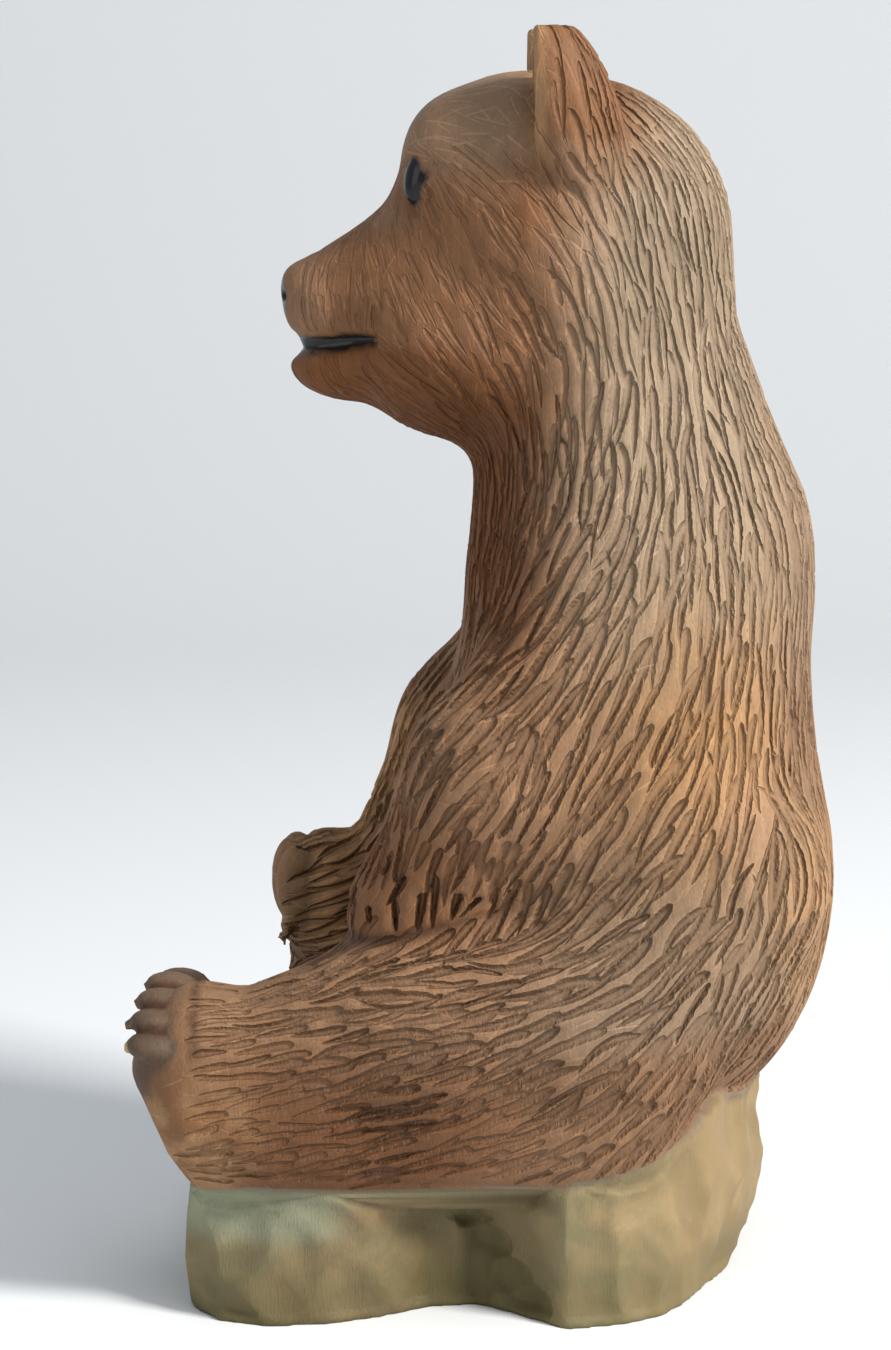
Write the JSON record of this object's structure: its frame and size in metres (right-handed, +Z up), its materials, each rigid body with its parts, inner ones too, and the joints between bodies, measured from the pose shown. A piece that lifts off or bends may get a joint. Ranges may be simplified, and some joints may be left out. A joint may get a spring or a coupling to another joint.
{
  "type": "carved wooden bear",
  "caption": "Sitting bear carved with its ground from one block of wood, fur in gouge strokes, one leg stretched out, a standing ornament",
  "frame": {"origin": "on the flat underside of the ground, below the middle of the figure", "axes": "+Z up; the bear faces -Y; its left side, with the stretched leg, is at +X"},
  "size_m": [0.1217, 0.1718, 0.3],
  "materials": {
    "carved_wood": "brown stain over bare wood, satin, with a thin green wash on the ground and black paint on eyes, nose and mouth"
  },
  "bodies": {
    "root": {"carved_bear": "carved_wood"}
  },
  "joints": []
}
